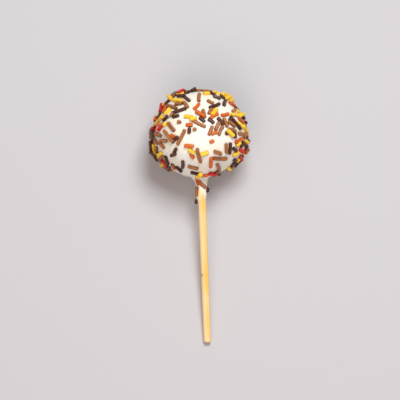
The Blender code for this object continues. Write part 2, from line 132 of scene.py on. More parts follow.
@dataclass(frozen=True)
class PopForm:
    """The plain form of the coated ball and of the stick in it, and how the pop lies."""

    ball_radius: float = 19.4 * MM
    crown_height: float = 17.5 * MM
    rest_depth: float = 0.7 * MM
    swells: tuple[tuple[float, tuple[float, float, float]], ...] = (
        (0.022, (-0.96, -0.26, 0.10)),
        (-0.088, (-0.94, 0.33, 0.10)),
        (0.036, (-0.70, 0.71, 0.05)),
        (-0.072, (0.94, 0.34, 0.05)),
        (0.015, (0.72, 0.69, 0.10)),
        (0.016, (0.96, -0.25, 0.15)),
        (-0.016, (0.10, 0.80, -0.60)),
        (0.014, (0.25, 0.10, -0.96)),
    )
    swell_reach: float = 0.42
    swell_end: float = -1.7
    swell_fade: float = 2.0
    collar_radius: float = 2.12 * MM
    collar_flare: float = 1.1 * MM
    flare_length: float = 1.6 * MM
    fillet: float = 7.5 * MM
    fillet_change: float = 2.5 * MM
    pole_slope: float = 2.0
    stick_radius: float = 1.55 * MM
    stick_foot_radius: float = 1.48 * MM
    stick_top: float = 3.5 * MM
    stick_foot: float = -85.5 * MM
    foot_wear: float = 0.02 * MM
    stick_rounding: float = 0.45 * MM
    stick_fuller: float = 0.16 * MM
    stick_finer: float = 0.03 * MM
    neck_rods: float = -18.5 * MM
    small_step: float = 0.05 * MM
    small_turn: float = 0.01
    solving_steps: int = 30

    def swell(self, point: Vector) -> float:
        """The share by which the ball is fuller or flatter in the direction of a point.

        Args:
            point: the point, in the pop's own directions.

        Returns:
            The share, below zero where the ball is flatter.
        """
        total = 0.0
        for amount, facing in self.swells:
            total += amount * math.exp(-((point.angle(Vector(facing)) / self.swell_reach) ** 2))
        return total * min(1.0, max(0.0, self.swell_fade * (point.y / self.crown_height - self.swell_end)))

    def skin_radius(self, height: float, angle: float, collar_radius: float | None = None) -> float:
        """The coating's distance from the stick's line, before any swell.

        Args:
            height: the place's height along the stick's line.
            angle: its angle round that line.
            collar_radius: the collar's radius there, if it isn't the solid's.

        Returns:
            The distance in metres.
        """
        level = height / self.crown_height
        if abs(level) < 1:
            ball = self.ball_radius * math.sqrt(1 - level * level)
        else:
            ball = self.pole_slope * (self.crown_height - abs(height))
        if height > 0:
            return max(ball, 0.0)
        flare = math.exp(min(0.0, height + self.crown_height) / self.flare_length)
        collar = (collar_radius or self.collar_radius) + self.collar_flare * flare
        return smooth_max(ball, collar, self.fillet - self.fillet_change * math.cos(angle))

    def skin_point(self, height: float, angle: float, collar_radius: float | None = None) -> Vector:
        """The point of the coating at a place.

        Args:
            height: the place's height along the stick's line.
            angle: its angle round that line.
            collar_radius: the collar's radius there, if it isn't the solid's.

        Returns:
            The point, in the pop's own directions.
        """
        radius = self.skin_radius(height, angle, collar_radius)
        point = Vector((radius * math.cos(angle), height, radius * math.sin(angle)))
        return point * (1 + self.swell(point))

    def skin_normal(self, height: float, angle: float) -> Vector:
        """The direction straight out of the coating at a place.

        Args:
            height: the place's height along the stick's line.
            angle: its angle round that line.

        Returns:
            The direction, of length 1.
        """
        step, turn = self.small_step, self.small_turn
        along = self.skin_point(height + step, angle) - self.skin_point(height - step, angle)
        around = self.skin_point(height, angle + turn) - self.skin_point(height, angle - turn)
        return along.cross(around).normalized()

    def stick_radius_at(self, height: float) -> float:
        """The stick's radius at a height along its line."""
        share = (height - self.stick_foot) / (self.stick_top - self.stick_foot)
        return blend(self.stick_foot_radius, self.stick_radius, share)

    def real_stick_radius(self, height: float) -> float:
        """The radius of the stick that is seen.

        It is a little fuller than the solid's at its top and finer at its foot.

        Args:
            height: the height along the stick's line.

        Returns:
            The radius in metres.
        """
        share = max(0.0, (height - self.stick_foot) / (self.stick_top - self.stick_foot))
        return self.stick_radius_at(height) + blend(-self.stick_finer, self.stick_fuller, math.sqrt(share))

    def ball_height(self, tilt: float) -> float:
        """How high the middle of the ball is above the floor at this tilt."""
        reach = math.hypot(self.ball_radius * math.cos(tilt), self.crown_height * math.sin(tilt))
        return reach - self.rest_depth

    def tilt(self) -> float:
        """The tilt at which the ball and the foot of the stick both lie on the floor.

        Returns:
            The tilt in radians.
        """
        tilt = 0.0
        for _ in range(self.solving_steps):
            drop = self.ball_height(tilt) - self.stick_foot_radius * math.cos(tilt)
            tilt = math.asin(drop / -(self.stick_foot + self.stick_rounding))
        return tilt

    def lying(self) -> Matrix:
        """The turn and place that take the pop from its own directions to where it lies."""
        tilt = self.tilt()
        return Matrix.Translation((0, 0, self.ball_height(tilt))) @ Matrix.Rotation(tilt, 4, "X")


@dataclass(frozen=True)
class Rod:
    """One sugar rod, in the pop's own directions."""

    dye: Dye
    centre: Vector
    along: Vector
    outward: Vector
    length: float
    width: float
    spots: np.ndarray


@dataclass
class RodLayout:
    """Where each sugar rod lies: those of the shown face by their places, and the others by a rule."""

    form: PopForm
    width: float = 1.4 * MM
    yellow_width: float = 1.65 * MM
    sink: float = 0.55
    end_sink: float = 1.0 * MM
    press: float = 0.70
    pile_step: float = 0.06 * MM
    floor_clearance: float = 0.2 * MM
    standing_length: float = 1.9 * MM
    standing_lean: float = math.radians(80)
    blunt: float = 0.4
    seen_edge: float = 0.998
    neck_start: float = -16.2 * MM
    steepest: float = 1.5
    least_facing: float = 0.2
    aims: int = 3
    spots_a_side: int = 4
    seed: int = 31
    strewn: int = 420
    fused: int = 108
    lengths: tuple[float, float, float] = (1.8 * MM, 5.6 * MM, 3.1 * MM)
    tries: int = 60
    strewn_front: float = -0.6 * MM
    bare_below: float = -14.0 * MM
    piled: float = 0.06
    proud: float = 0.05
    proud_angles: Span = (12, 30)
    rim_share: float = 0.7
    rim_depth: float = -7.0 * MM
    shares: dict[Dye, float] = field(
        default_factory=lambda: {
            Dye.BROWN: 0.30,
            Dye.DARK: 0.27,
            Dye.ORANGE: 0.13,
            Dye.YELLOW: 0.20,
            Dye.RED: 0.10,
        }
    )

    # Millimetres right of and above the middle of the ball, turn from level in degrees, and length as seen.
    face: dict[Dye, tuple[tuple[float, float, float, float], ...]] = field(
        default_factory=lambda: {
            Dye.DARK: (
                (-4.9, 15.0, -48, 3.5), (-7.0, 15.3, 2, 2.8), (-8.2, 9.8, 17, 6.4), (-9.5, 7.6, 15, 2.6),
                (-4.2, 1.5, 84, 2.5), (-10.2, -2.0, 42, 3.4), (-10.3, -6.5, 60, 2.0), (-7.4, -12.4, 86, 2.8),
                (-9.0, -14.2, -45, 2.8), (-2.5, -16.1, -14, 3.6), (1.2, 5.8, -42, 3.0), (4.9, 5.1, -38, 3.1),
                (6.6, 11.3, 19, 4.6), (8.8, 4.9, -55, 3.9), (15.4, 3.4, -53, 5.4), (14.5, -0.9, -86, 3.0),
                (12.3, -6.5, 84, 4.6), (10.8, 12.4, 70, 2.4), (7.7, 14.8, -24, 3.2), (13.2, -13.0, 62, 2.6),
                (-14.0, -10.4, -74, 3.4), (13.0, 5.9, 62, 1.9), (2.6, -23.0, 80, 1.5), (-2.4, -27.6, 84, 1.6),
                (-11.0, -8.1, 20, 2.2), (11.1, -0.1, 75, 1.5),
            ),
            Dye.BROWN: (
                (-11.6, 3.3, -54, 4.4), (-12.9, -0.5, -54, 6.2), (-7.6, -1.1, 61, 6.9), (0.3, 15.0, 83, 3.2),
                (5.0, 12.9, -30, 3.0), (-5.2, 12.2, -55, 2.8), (-10.8, 11.6, -22, 3.8), (-8.2, 12.7, 3, 2.9),
                (2.1, 8.2, -78, 3.6), (4.7, 9.1, 60, 2.6), (10.9, 4.3, -70, 4.0), (7.4, 2.9, 62, 3.7),
                (8.7, 1.0, 62, 4.1), (4.6, 1.2, 66, 4.0), (13.4, 3.6, -40, 3.4), (13.6, 1.1, -22, 3.0),
                (10.8, -6.4, -88, 3.9), (7.2, -8.1, -24, 3.3), (8.0, -10.6, -4, 5.7), (7.2, -13.8, -70, 2.4),
                (6.3, -16.1, 38, 3.5), (-0.7, -9.0, -77, 5.9), (-3.2, -13.8, -17, 4.3),
                (-15.7, -4.2, -52, 3.0), (-15.0, -2.3, -5, 2.8), (-0.1, 4.2, -29, 6.2),
                (0.4, -20.8, -43, 4.0), (-2.2, -23.5, 86, 3.8),
            ),
            Dye.ORANGE: (
                (-0.8, 11.3, 43, 3.4), (0.6, 8.2, -35, 4.6), (6.2, 7.2, 30, 3.8), (10.7, 7.5, 10, 3.0),
                (-4.1, 3.8, -6, 2.8), (5.9, 0.1, 22, 2.5), (-4.5, -4.9, -7, 3.9), (-3.4, -9.1, -55, 2.2),
                (4.2, -12.0, 85, 3.9), (-11.1, -0.5, -20, 2.0), (1.6, -17.1, 10, 2.9), (16.1, -3.3, 28, 3.5),
                (-1.6, -19.3, -78, 2.8), (4.9, -3.3, 15, 1.9),
            ),
            Dye.YELLOW: (
                (-4.3, 7.2, -6, 3.5), (-2.3, 6.3, 8, 3.0), (6.4, 8.8, 47, 3.4), (12.8, -0.2, -46, 3.5),
                (-3.7, -7.1, -40, 3.0), (1.7, -8.2, 18, 3.4), (-8.4, 14.1, -10, 3.6), (3.5, 16.5, 0, 2.5),
                (14.6, 7.3, -4, 3.0), (-14.0, 4.6, 60, 1.8), (14.5, -8.7, 28, 2.6), (-12.7, 9.8, 44, 3.4),
                (-0.9, -17.2, 35, 2.2),
            ),
            Dye.RED: ((4.8, -17.1, -10, 2.6),),
        }
    )
    # Those at the shown rim, where the ones further out lie on those further in.
    outer: dict[Dye, tuple[tuple[float, float, float, float], ...]] = field(
        default_factory=lambda: {
            Dye.BROWN: (
                (0.4, 18.1, 0, 2.1), (3.2, 18.0, -4, 2.4), (-10.7, 16.5, 22, 1.6), (-11.3, 8.6, 43, 1.8),
                (-18.9, 0.6, -62, 2.2), (-17.0, 0.3, -28, 2.6), (-18.1, -2.5, -44, 2.2),
                (-17.9, -5.9, 84, 2.3), (-16.1, -9.1, 33, 2.6), (-11.3, -13.0, -56, 2.2),
                (16.9, -0.5, -7, 2.0), (18.7, -1.3, 57, 1.9), (20.0, -0.5, -89, 2.8), (19.0, -7.7, 50, 2.0),
                (14.5, 9.0, 46, 1.9), (-14.0, 13.3, 50, 2.2),
            ),
            Dye.RED: (
                (-7.2, 18.4, 20, 2.6), (-15.5, 11.4, 78, 3.2), (-17.3, 3.2, 59, 2.2),
                (-15.0, -11.9, -58, 4.0), (17.0, -7.5, -40, 2.9), (16.5, -10.4, -62, 2.3),
            ),
            Dye.ORANGE: (
                (-13.9, 10.7, 65, 3.2), (-16.1, 4.3, -9, 2.5), (13.7, 11.9, -32, 2.3), (17.1, 5.0, -40, 2.4),
            ),
            Dye.YELLOW: (
                (-7.3, 16.7, 18, 3.2), (-16.5, 6.2, 47, 4.3), (-19.2, -1.2, 90, 2.6), (-19.2, -5.1, -88, 3.1),
                (-18.6, -7.4, -42, 1.4), (-16.8, -7.8, 36, 2.8), (11.6, 14.1, 28, 2.3), (13.9, 13.9, 10, 2.4),
                (16.2, 8.2, -47, 2.7), (17.6, 7.1, 28, 2.5), (16.8, 3.1, -49, 2.8), (18.7, 1.6, -61, 2.8),
                (19.0, -3.8, -35, 2.0), (15.7, -4.8, 43, 2.2), (15.3, -11.3, 46, 2.0), (10.5, 16.6, 58, 1.7),
                (-12.3, 16.4, -53, 1.6), (11.6, -14.7, -52, 1.6), (6.7, 17.5, 8, 1.4), (8.5, 16.6, -23, 1.4),
            ),
            Dye.DARK: (
                (-20.1, 0.6, -85, 4.6), (-20.4, -4.3, 89, 4.2), (-19.6, -7.8, -45, 3.0),
                (-5.2, 18.2, -50, 2.4), (-3.2, 18.1, 15, 1.6), (-1.8, 18.3, 32, 1.6), (-11.2, 15.1, 25, 2.2),
                (-13.0, 14.0, 43, 1.9), (-15.7, 9.0, 68, 1.9), (-13.8, 6.9, 43, 2.9), (-12.9, -13.3, 72, 2.3),
                (5.7, 16.5, -29, 2.4), (10.0, 14.8, -47, 1.8), (16.0, 10.5, -49, 2.8), (20.2, 1.7, -82, 2.0),
                (20.4, -3.1, -44, 2.3), (17.4, -4.9, 58, 2.5), (18.8, -5.4, -41, 2.0),
                (14.5, -11.7, -26, 1.4), (9.8, -15.8, -36, 1.4), (14.3, -7.0, -40, 1.8),
            ),
        }
    )
    # Those that stand up, so that only an end shows.
    standing: dict[Dye, tuple[tuple[float, float], ...]] = field(
        default_factory=lambda: {Dye.BROWN: ((-8.1, 5.1), (-1.9, 1.9))}
    )

    # What is commonest along the shown rim, by the direction from the middle in degrees (0 right, 90 up).
    rim: dict[int, tuple[Dye, ...]] = field(
        default_factory=lambda: {
            5: (Dye.YELLOW, Dye.ORANGE, Dye.DARK),
            40: (Dye.YELLOW, Dye.YELLOW),
            80: (Dye.DARK, Dye.BROWN),
            128: (Dye.YELLOW, Dye.DARK, Dye.RED),
            150: (Dye.RED, Dye.ORANGE, Dye.DARK),
            168: (Dye.YELLOW, Dye.RED),
            190: (Dye.DARK,),
            212: (Dye.YELLOW, Dye.DARK),
            228: (Dye.RED, Dye.BROWN),
            300: (Dye.RED, Dye.BROWN),
            318: (Dye.DARK, Dye.ORANGE),
            342: (Dye.RED, Dye.DARK, Dye.YELLOW),
        }
    )

    def face_place(self, across: float, up: float) -> tuple[float, float]:
        """The place on the coating that is seen from the front here, or nearest to it.

        Args:
            across: how far right of the middle it is seen.
            up: how far above the middle.

        Returns:
            The place's height and angle.
        """
        outness = math.hypot(across / self.form.ball_radius, up / self.form.crown_height) / self.seen_edge
        if outness > 1 and up > self.neck_start:
            across /= outness
            up /= outness
        height = up
        angle = math.pi / 2
        for _ in range(self.form.solving_steps):
            point = self.form.skin_point(height, angle)
            height += up - point.y
            reach = math.hypot(point.x, point.z)
            angle = math.acos(max(-1.0, min(1.0, across / reach)))
        return height, angle

    def spots_along(self, centre: Vector, along: Vector, length: float, width: float) -> np.ndarray:
        """Points spread along a rod's centre line.

        Args:
            centre: the rod's middle.
            along: its direction.
            length: its length.
            width: its width.

        Returns:
            The points, one to a row.
        """
        reach = length / 2 - width * self.blunt
        side = self.spots_a_side
        return np.array([centre + along * (reach * spot / side) for spot in range(-side, side + 1)])

    def gap(self, spots: np.ndarray, other: Rod) -> float:
        """How far these points are from a rod that is laid already, beyond contact."""
        return np.linalg.norm(other.spots[:, None] - spots[None], axis=2).min() - self.press * other.width

    def near(self, spots: np.ndarray, other: Rod) -> bool:
        """Whether a rod is near enough to these points that they may touch."""
        reach = np.linalg.norm(spots[0] - spots[-1]) / 2 + other.length / 2 + other.width
        return np.linalg.norm(spots[self.spots_a_side] - other.spots[self.spots_a_side]) < reach

    def settled(
        self,
        dye: Dye,
        place: tuple[float, float],
        along: Vector,
        length: float,
        lean: float,
        laid: Sequence[Rod],
    ) -> tuple[Rod, int]:
        """A rod laid on the coating, or on top of those that it crosses.

        Args:
            dye: its colour.
            place: the height and angle of its middle.
            along: its direction, before it is laid flat.
            length: its length.
            lean: how far it leans out of the coating, in radians.
            laid: the rods that are laid already.

        Returns:
            The rod, and how many others it crosses.
        """
        width = self.yellow_width if dye is Dye.YELLOW else self.width
        outward = self.form.skin_normal(*place)
        flat = (along - outward * along.dot(outward)).normalized()
        line = flat * math.cos(lean) + outward * math.sin(lean)
        proud = max(0.0, math.sin(lean) * length / 2 - self.end_sink)
        centre = self.form.skin_point(*place) + outward * (width / 2 * (1 - self.sink) + proud)
        spots = self.spots_along(centre, line, length, width)
        crossed = [other for other in laid if self.near(spots, other) and self.gap(spots, other) < 0]
        lift = 0.0
        while crossed and min(self.gap(spots + np.array(outward) * lift, other) for other in crossed) < 0:
            lift += self.pile_step
        centre = centre + outward * lift
        return Rod(dye, centre, line, outward, length, width, spots + np.array(outward) * lift), len(crossed)

    def laid_as_seen(
        self, dye: Dye, across: float, up: float, turn: float, length: float, lean: float, laid: Sequence[Rod]
    ) -> Rod:
        """A rod that is seen from the front at this place, with this turn from level and this length.

        Args:
            dye: its colour.
            across: how far right of the ball's middle it is seen.
            up: how far above the middle.
            turn: its turn from level, in radians.
            length: its length as seen.
            lean: how far it leans out of the coating, in radians.
            laid: the rods that are laid already.

        Returns:
            The rod.
        """
        seen = Vector((math.cos(turn), math.sin(turn), 0.0))
        aim_across, aim_up = across, up
        for _ in range(self.aims):
            place = self.face_place(aim_across, aim_up)
            outward = self.form.skin_normal(*place)
            depth = -seen.dot(outward) / max(outward.z, self.least_facing)
            line = seen + Vector((0, 0, max(-self.steepest, min(self.steepest, depth))))
            along = line.normalized() if line.dot(outward) > 0 else -line.normalized()
            tilt = max(lean, math.asin(along.dot(outward)))
            rod, _ = self.settled(dye, place, along, length * line.length, tilt, laid)
            aim_across += across - rod.centre.x
            aim_up += up - rod.centre.y
        return rod

    def face_rods(self) -> list[Rod]:
        """The rods that lie or stand apart on the shown face, and those at its rim.

        Returns:
            The rods, in the order in which they are laid.
        """
        listed = [(dye, *place) for dye, places in self.face.items() for place in places]
        outer = [(dye, *place) for dye, places in self.outer.items() for place in places]
        outer.sort(key=lambda rod: math.hypot(rod[1], rod[2]))
        laid: list[Rod] = []
        for dye, across, up, turn, length in listed + outer:
            seen = (across * MM, up * MM, math.radians(turn), length * MM)
            laid.append(self.laid_as_seen(dye, *seen, 0.0, laid))
        for dye, places in self.standing.items():
            for across, up in places:
                seen = (across * MM, up * MM, 0.0, self.standing_length)
                laid.append(self.laid_as_seen(dye, *seen, self.standing_lean, laid))
        return laid

    def strewn_dye(self, draw: random.Random, point: Vector) -> Dye:
        """A colour for a strewn rod, which on the shown rim goes by the direction from the middle.

        Args:
            draw: the seeded draw.
            point: where the rod lies.

        Returns:
            The colour.
        """
        chosen = draw.choices(list(self.shares), list(self.shares.values()))[0]
        direction = math.degrees(math.atan2(point.y, point.x)) % 360
        nearest = min(self.rim, key=lambda degrees: abs((direction - degrees + 180) % 360 - 180))
        common = draw.choice(self.rim[nearest])
        on_rim = draw.random() < self.rim_share and point.z > self.rim_depth
        return common if on_rim else chosen

    def lowest_point(self, rod: Rod, lying: Matrix) -> float:
        """The height of a rod's lowest point above the floor."""
        ends = [lying @ (rod.centre + rod.along * (side * rod.length / 2)) for side in (-1, 1)]
        return min(end.z for end in ends) - rod.width / 2

    def in_box(self, rod: Rod, lying: Matrix) -> bool:
        """Whether a rod stays inside the solids' box.

        Args:
            rod: the rod.
            lying: the turn and place of the pop as it lies.

        Returns:
            True where all of it is inside.
        """
        low, high = CAD_BOX
        for spot in (rod.spots[0], rod.spots[-1]):
            place = lying @ Vector(spot)
            for axis in range(3):
                if not low[axis] + rod.width / 2 < place[axis] < high[axis] - rod.width / 2:
                    return False
        return True

    def strewn_rods(self, laid: list[Rod]) -> list[Rod]:
        """The strewn rods from the longest down, round those already laid.

        Args:
            laid: the rods of the shown face.

        Returns:
            The strewn rods. The solid has the first ones, and of the others only those in its box stay.
        """
        draw = random.Random(self.seed)
        lying = self.form.lying()
        lengths = sorted((draw.triangular(*self.lengths) for _ in range(self.strewn)), reverse=True)
        strewn: list[Rod] = []
        for length in lengths:
            for _ in range(self.tries):
                place = self.form.crown_height * draw.uniform(-1, 1), draw.uniform(0, 2 * math.pi)
                turn = draw.uniform(0, math.pi)
                lean = math.radians(draw.uniform(*self.proud_angles)) if draw.random() < self.proud else 0.0
                stays_on_pile = draw.random() < self.piled
                point = self.form.skin_point(*place)
                dye = self.strewn_dye(draw, point)
                if point.z > self.strewn_front or point.y < self.bare_below:
                    continue
                outward = self.form.skin_normal(*place)
                along = Matrix.Rotation(turn, 3, outward) @ outward.orthogonal().normalized()
                rod, crossed = self.settled(dye, place, along, length, lean, laid + strewn)
                off_floor = self.lowest_point(rod, lying) > self.floor_clearance
                if off_floor and (crossed == 0 or (crossed == 1 and stays_on_pile)):
                    strewn.append(rod)
                    break
        fused, finer = strewn[: self.fused], strewn[self.fused :]
        return fused + [rod for rod in finer if self.in_box(rod, lying)]

    def rods(self) -> list[Rod]:
        """All the sugar rods."""
        laid = self.face_rods()
        return laid + self.strewn_rods(laid)


@dataclass
class NodeGraph:
    """Adds nodes to a shader's or a shape's tree and joins them."""

    tree: bpy.types.NodeTree

    # The numbers of a mix node's sockets for colours, which share their names with those for other values.
    MIX_FACTOR = 0
    MIX_COLOURS = (6, 7)
    MIX_RESULT = 2

    def add(self, kind: str, inputs: dict[int | str, Any] | None = None, **settings: Any) -> bpy.types.Node:
        """Adds a node.

        Args:
            kind: the node's type.
            inputs: for an input's name or number, its value or the output that it takes.
            settings: the node's own properties.

        Returns:
            The node.
        """
        node = self.tree.nodes.new(kind)
        for name, value in settings.items():
            setattr(node, name, value)
        for key, value in (inputs or {}).items():
            if isinstance(value, Socket):
                self.tree.links.new(value, node.inputs[key])
            else:
                node.inputs[key].default_value = value
        return node

    def maths(self, operation: str, *values: Any) -> Socket:
        """The result of a sum on numbers."""
        return self.add("ShaderNodeMath", dict(enumerate(values)), operation=operation).outputs[0]

    def vectors(self, operation: str, first: Any, second: Any) -> Socket:
        """The result of a sum on two vectors."""
        return self.add("ShaderNodeVectorMath", {0: first, 1: second}, operation=operation).outputs[0]

    def dot(self, first: Any, second: Any) -> Socket:
        """How far the first vector reaches along the second."""
        inputs = {0: first, 1: second}
        return self.add("ShaderNodeVectorMath", inputs, operation="DOT_PRODUCT").outputs["Value"]

    def scaled(self, vector: Any, factor: Any) -> Socket:
        """A vector times a number."""
        inputs = {"Vector": vector, "Scale": factor}
        return self.add("ShaderNodeVectorMath", inputs, operation="SCALE").outputs[0]

    def ranged(self, value: Any, given: Span, wanted: Span = (0.0, 1.0)) -> Socket:
        """A number taken from one range to another, and held inside it."""
        inputs = {0: value, 1: given[0], 2: given[1], 3: wanted[0], 4: wanted[1]}
        return self.add("ShaderNodeMapRange", inputs).outputs[0]

    def hump(self, value: Any, middle: float, reach: float) -> Socket:
        """A smooth hump from 0 to 1 and back, round a middle."""
        off = self.maths("DIVIDE", self.maths("SUBTRACT", value, middle), reach)
        return self.maths("EXPONENT", self.maths("MULTIPLY", self.maths("MULTIPLY", off, off), -1.0))

    def grain(self, vector: Any, scale: float, detail: float = 2.0, roughness: float = 0.5) -> Socket:
        """A noise from 0 to 1."""
        inputs = {"Vector": vector, "Scale": scale, "Detail": detail, "Roughness": roughness}
        return self.add("ShaderNodeTexNoise", inputs).outputs["Fac"]

    def mixed(self, factor: Any, first: Any, second: Any) -> Socket:
        """A colour between two colours.

        Args:
            factor: how far it lies from the first to the second.
            first: one colour.
            second: the other.

        Returns:
            The colour.
        """
        inputs = {self.MIX_FACTOR: factor}
        for number, tone in zip(self.MIX_COLOURS, (first, second)):
            inputs[number] = (*tone, 1.0) if isinstance(tone, tuple) else tone
        return self.add("ShaderNodeMix", inputs, data_type="RGBA").outputs[self.MIX_RESULT]

    def bumped(self, height: Any, distance: float, strength: float, over: Socket | None = None) -> Socket:
        """A normal that follows a height.

        Args:
            height: the height, from 0 to 1.
            distance: how far it stands out in all.
            strength: how much of it counts.
            over: the normal that it is added to, if there is one.

        Returns:
            The normal.
        """
        inputs = {"Height": height, "Distance": distance, "Strength": strength}
        if over is not None:
            inputs["Normal"] = over
        return self.add("ShaderNodeBump", inputs).outputs[0]


@dataclass
class MaterialNodes:
    """A new material and what its nodes start from."""

    name: str

    def __post_init__(self) -> None:
        """Makes the material."""
        self.material = bpy.data.materials.new(self.name)
        self.material.use_nodes = True
        self.graph = NodeGraph(self.material.node_tree)
        self.shader = self.material.node_tree.nodes["Principled BSDF"]
        self.place = self.graph.add("ShaderNodeTexCoord").outputs["Object"]

    def set(self, **values: Any) -> None:
        """Sets the shader's sockets.

        Args:
            values: for a socket's name, in lower case with low lines for spaces, its value or the output that
                it takes.
        """
        sockets = {socket.name.lower().replace(" ", "_"): socket for socket in self.shader.inputs}
        for name, value in values.items():
            if isinstance(value, Socket):
                self.graph.tree.links.new(value, sockets[name])
            elif isinstance(value, tuple) and len(value) == 3 and sockets[name].type == "RGBA":
                sockets[name].default_value = (*value, 1.0)
            else:
                sockets[name].default_value = value

    def attribute(self, name: str) -> Socket:
        """The piece's own attribute, as a number."""
        return self.graph.add("ShaderNodeAttribute", attribute_name=name).outputs["Fac"]


@dataclass(frozen=True)
class Streaks:
    """A pattern that is stretched along the stick, and how much of it counts."""

    across: float
    along: float
    detail: float
    roughness: float
    given: Span
    wanted: Span

    def pattern(self, graph: NodeGraph, place: Socket) -> Socket:
        """The pattern itself.

        Args:
            graph: the nodes that it is added to.
            place: the point, in the pop's own directions.

        Returns:
            A noise from 0 to 1.
        """
        scale = (1 / self.across, 1 / self.along, 1 / self.across)
        stretched = graph.add("ShaderNodeMapping", {"Vector": place, "Scale": scale}).outputs[0]
        return graph.grain(stretched, 1.0, self.detail, self.roughness)

    def share(self, graph: NodeGraph, pattern: Socket) -> Socket:
        """How much the pattern counts at each point."""
        return graph.ranged(pattern, self.given, self.wanted)


@dataclass(frozen=True)
class BambooFinish:
    """Raw bamboo: straight fibres of pale straw and gold, which shift along the stick, with a painted sheen
    that keeps it paler towards its left and right edges as seen from the front.
    """

    form: PopForm
    pale: Colour = from_bytes(250, 220, 168)
    gold: Colour = from_bytes(244, 194, 100)
    fibre: Colour = from_bytes(196, 140, 70)
    nick: Colour = from_bytes(96, 56, 34)
    patches: Streaks = Streaks(1.6 * MM, 16.0 * MM, 1.0, 0.5, (0.40, 0.65), (0.0, 0.35))
    streaks: Streaks = Streaks(0.34 * MM, 18.0 * MM, 3.0, 0.6, (0.42, 0.72), (0.0, 0.45))
    fibres: Streaks = Streaks(0.12 * MM, 9.0 * MM, 2.0, 0.6, (0.62, 0.78), (0.0, 0.4))
    golden_bands: tuple[tuple[float, float], ...] = ((-29.4 * MM, 2.6 * MM), (-58.5 * MM, 6.5 * MM))
    band_share: float = 0.6
    # Where across the stick the gold is fullest, and how fast it fades into the painted sheen of the pale
    # left and right edges.
    sheen_free_across: float = 0.42 * MM
    sheen_free_reach: float = 0.75 * MM
    golden_least: float = 0.3
    # How much of the gold stays in the middle, and how little at the painted-sheen edges.
    sheen_free_share: float = 0.75
    sheened_edge_share: float = 0.3
    fibre_height: float = 0.05 * MM
    fibre_strength: float = 0.6
    rough_fibres: Span = (0.3, 0.7)
    roughness: Span = (0.42, 0.62)
    shine: float = 0.35

    def colour(self, nodes: MaterialNodes) -> tuple[Socket, Socket]:
        """The bamboo's colour, which the coating shows too where it is thin.

        Args:
            nodes: the material that it is added to.

        Returns:
            The colour, and the pattern of its fibres.
        """
        graph = nodes.graph
        tilt = self.form.tilt()
        from_ball = graph.vectors("SUBTRACT", nodes.place, (0.0, 0.0, self.form.ball_height(tilt)))
        own = graph.add("ShaderNodeMapping", {"Vector": from_ball, "Rotation": (-tilt, 0, 0)}).outputs[0]
        across, along, _ = graph.add("ShaderNodeSeparateXYZ", {0: own}).outputs
        patches = self.patches.share(graph, self.patches.pattern(graph, own))
        streaks = self.streaks.share(graph, self.streaks.pattern(graph, own))
        golden = graph.maths("ADD", patches, streaks)
        for middle, reach in self.golden_bands:
            band = graph.maths("MULTIPLY", graph.hump(along, middle, reach), self.band_share)
            golden = graph.maths("ADD", golden, band)
        # Painted sheen: the gold fades towards the stick's left and right edges, which stay pale.
        side = graph.hump(across, self.sheen_free_across, self.sheen_free_reach)
        side = graph.maths("MULTIPLY_ADD", side, self.sheen_free_share, self.sheened_edge_share)
        golden = graph.maths("MULTIPLY", graph.maths("ADD", golden, self.golden_least), side)
        body = graph.mixed(graph.maths("MINIMUM", golden, 1.0), self.pale, self.gold)
        fibres = self.fibres.pattern(graph, own)
        return graph.mixed(self.fibres.share(graph, fibres), body, self.fibre), fibres

    def material(self) -> bpy.types.Material:
        """Builds the material.

        Returns:
            The material.
        """
        nodes = MaterialNodes("raw_bamboo")
        graph = nodes.graph
        body, fibres = self.colour(nodes)
        nodes.set(
            base_color=graph.mixed(nodes.attribute("nicked"), body, self.nick),
            roughness=graph.ranged(fibres, self.rough_fibres, self.roughness),
            specular_ior_level=self.shine,
            normal=graph.bumped(fibres, self.fibre_height, self.fibre_strength),
        )
        return nodes.material


@dataclass(frozen=True)
class CoatingFinish:
    """White sugar coating: satin, a little translucent, and clear where it thins out on the stick."""

    bamboo: BambooFinish
    white: Colour = from_bytes(253, 248, 238)
    cream: Colour = from_bytes(250, 241, 221)
    patch_scale: float = 120.0
    patches: Span = (0.35, 0.7)
    ripple_scale: float = 420.0
    ripple_detail: float = 3.0
    ripples: Span = (0.3, 0.7)
    ripple_height: float = 0.05 * MM
    ripple_strength: float = 0.6
    fine_scale: float = 2600.0
    fine_height: float = 0.008 * MM
    fine_strength: float = 0.5
    roughness: Span = (0.26, 0.40)
    translucence: float = 0.3
    light_reach: Colour = (1.0, 0.8, 0.6)
    light_depth: float = 0.9 * MM

    def material(self) -> bpy.types.Material:
        """Builds the material.

        Returns:
            The material.
        """
        nodes = MaterialNodes("white_coating")
        graph = nodes.graph
        patches = graph.ranged(graph.grain(nodes.place, self.patch_scale), self.patches)
        body = graph.mixed(patches, self.white, self.cream)
        ripples = graph.grain(nodes.place, self.ripple_scale, self.ripple_detail)
        rippled = graph.bumped(ripples, self.ripple_height, self.ripple_strength)
        fine = graph.grain(nodes.place, self.fine_scale)
        bamboo, _ = self.bamboo.colour(nodes)
        nodes.set(
            base_color=graph.mixed(nodes.attribute("thin"), body, bamboo),
            roughness=graph.ranged(ripples, self.ripples, self.roughness),
            subsurface_weight=self.translucence,
            subsurface_radius=self.light_reach,
            subsurface_scale=self.light_depth,
            normal=graph.bumped(fine, self.fine_height, self.fine_strength, rippled),
        )
        return nodes.material


